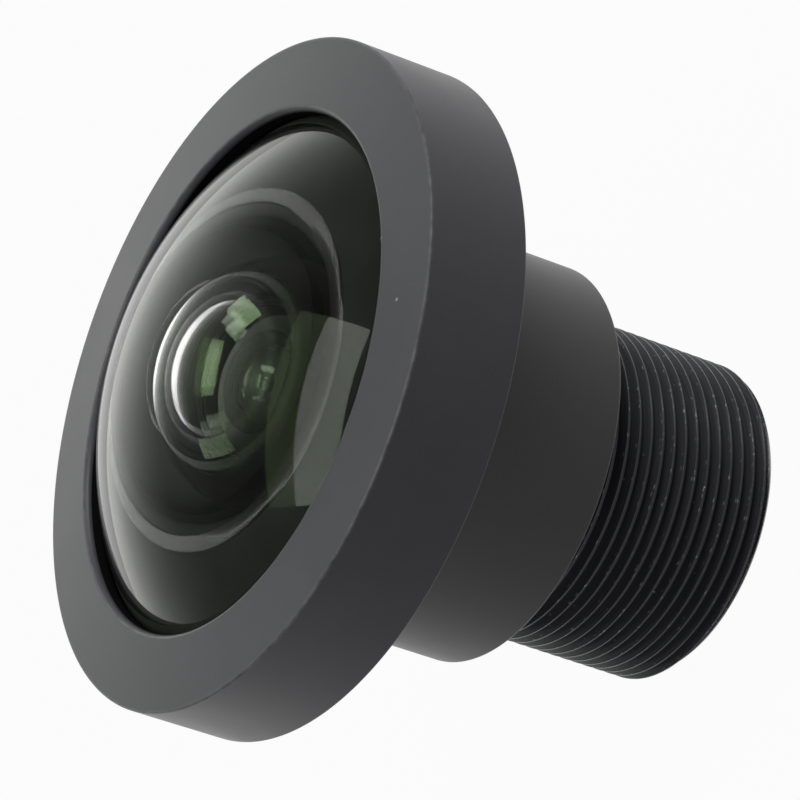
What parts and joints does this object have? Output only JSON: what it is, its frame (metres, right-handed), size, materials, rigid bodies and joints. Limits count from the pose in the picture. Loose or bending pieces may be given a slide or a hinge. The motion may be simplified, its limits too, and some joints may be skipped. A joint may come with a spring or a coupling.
{
  "type": "fisheye lens",
  "caption": "Fisheye board-camera lens: wide black ring round a bulging front meniscus, plain shoulder, fine M12 screw mount, nested elements, stop and filter held by threaded rings.",
  "frame": {"origin": "centre of the barrel's rear end face, where the optical axis leaves the thread", "axes": "+Z along the optical axis towards the front glass; +X and +Y are free, because the lens is round"},
  "size_m": [0.0248, 0.0248, 0.0225],
  "materials": {
    "anodised_barrel": "black anodised, turned, satin on the shoulder and glossier on the thread",
    "anodised_ring": "bead-blasted and anodised matte dark grey",
    "black_ring": "matte black anodised",
    "coated_glass": "polished, antireflection coated with green and purple residual, rims blackened",
    "filter_glass": "polished filter glass with a red-cyan residual reflection",
    "black_film": "matte black film",
    "slip_polymer": "smooth black slip film",
    "seal_rubber": "matte black rubber"
  },
  "bodies": {
    "barrel_assembly": {"barrel": "anodised_barrel", "front_o_ring": "seal_rubber", "element_1": "coated_glass", "light_shield_1": "black_film", "element_2_retainer": "black_ring", "element_2": "coated_glass", "light_shield_2": "black_film", "spacer_1": "black_ring", "element_3": "coated_glass", "spacer_2": "black_ring", "element_4": "coated_glass", "spacer_3": "black_ring", "aperture_stop": "black_ring", "spacer_4": "black_ring", "element_5_crown": "coated_glass", "element_6_flint": "coated_glass", "spacer_5": "black_ring", "light_shield_3": "black_film", "element_7": "coated_glass", "spacer_6": "black_ring"},
    "front_slip": {"front_gasket": "slip_polymer"},
    "front_ring_body": {"front_ring": "anodised_ring"},
    "rear_slip": {"rear_washer": "slip_polymer"},
    "rear_retainer_body": {"rear_retainer": "black_ring", "ir_cut_filter": "filter_glass"}
  },
  "joints": [
    {"name": "front_ring_travel", "type": "slide", "parent": "barrel_assembly", "child": "front_slip", "axis": [0, 0, 1], "range_m": [0, 0.0022]},
    {"name": "front_ring_turn", "type": "hinge", "parent": "front_slip", "child": "front_ring_body", "pos_m": [0, 0, 0.0174], "axis": [0, 0, 1], "range_deg": [0, 1580]},
    {"name": "rear_retainer_travel", "type": "slide", "parent": "barrel_assembly", "child": "rear_slip", "axis": [0, 0, -1], "range_m": [0, 0.00174]},
    {"name": "rear_retainer_turn", "type": "hinge", "parent": "rear_slip", "child": "rear_retainer_body", "pos_m": [0, 0, 0.001], "axis": [0, 0, -1], "range_deg": [0, 1800]}
  ],
  "couplings": [
    {"joint": "front_ring_travel", "follows": "front_ring_turn", "m_per_rad": 0.000079577},
    {"joint": "rear_retainer_turn", "follows": "rear_retainer_travel", "rad_per_m": 17952}
  ]
}
